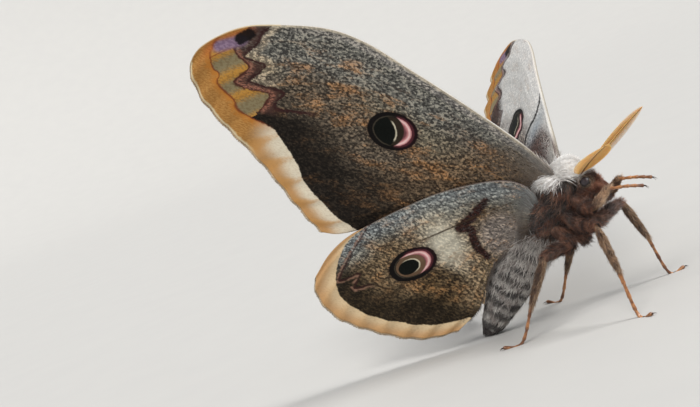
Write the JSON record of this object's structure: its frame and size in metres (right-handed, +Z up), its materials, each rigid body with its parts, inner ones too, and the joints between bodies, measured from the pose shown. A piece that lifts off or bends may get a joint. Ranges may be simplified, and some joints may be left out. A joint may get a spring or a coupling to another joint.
{
  "type": "giant peacock moth",
  "caption": "Life-size still model of a male giant peacock moth, standing with its wings half raised, for display.",
  "frame": {"origin": "on the floor, under the middle of the moth's box", "axes": "+X towards the moth's left, -Y the way it faces, +Z up"},
  "size_m": [0.091, 0.0702, 0.0728],
  "materials": {
    "wing_grey": "matte scaled membrane",
    "wing_brown": "matte scaled membrane",
    "fur_brown": "long soft fur, white at the collar",
    "abdomen_grey": "banded fur",
    "face_brown": "short soft fur",
    "eye_dark": "glossy faceted cornea",
    "antenna_ochre": "satin comb",
    "leg_brown": "short fur with a fringe",
    "tarsus_orange": "glossy chitin"
  },
  "bodies": {
    "root": {"head": "face_brown", "eye_left": "eye_dark", "eye_right": "eye_dark", "palp_left": "face_brown", "palp_right": "face_brown", "antenna_left": "antenna_ochre", "antenna_right": "antenna_ochre", "thorax": "fur_brown", "abdomen": "abdomen_grey", "forewing_left": "wing_grey", "forewing_right": "wing_grey", "hindwing_left": "wing_brown", "hindwing_right": "wing_brown", "leg_front_left_femur": "leg_brown", "leg_front_left_tibia": "leg_brown", "leg_front_left_tarsus": "tarsus_orange", "leg_front_right_femur": "leg_brown", "leg_front_right_tibia": "leg_brown", "leg_front_right_tarsus": "tarsus_orange", "leg_middle_left_femur": "leg_brown", "leg_middle_left_tibia": "leg_brown", "leg_middle_left_tarsus": "tarsus_orange", "leg_middle_right_femur": "leg_brown", "leg_middle_right_tibia": "leg_brown", "leg_middle_right_tarsus": "tarsus_orange", "leg_hind_left_femur": "leg_brown", "leg_hind_left_tibia": "leg_brown", "leg_hind_left_tarsus": "tarsus_orange", "leg_hind_right_femur": "leg_brown", "leg_hind_right_tibia": "leg_brown", "leg_hind_right_tarsus": "tarsus_orange"}
  },
  "joints": []
}
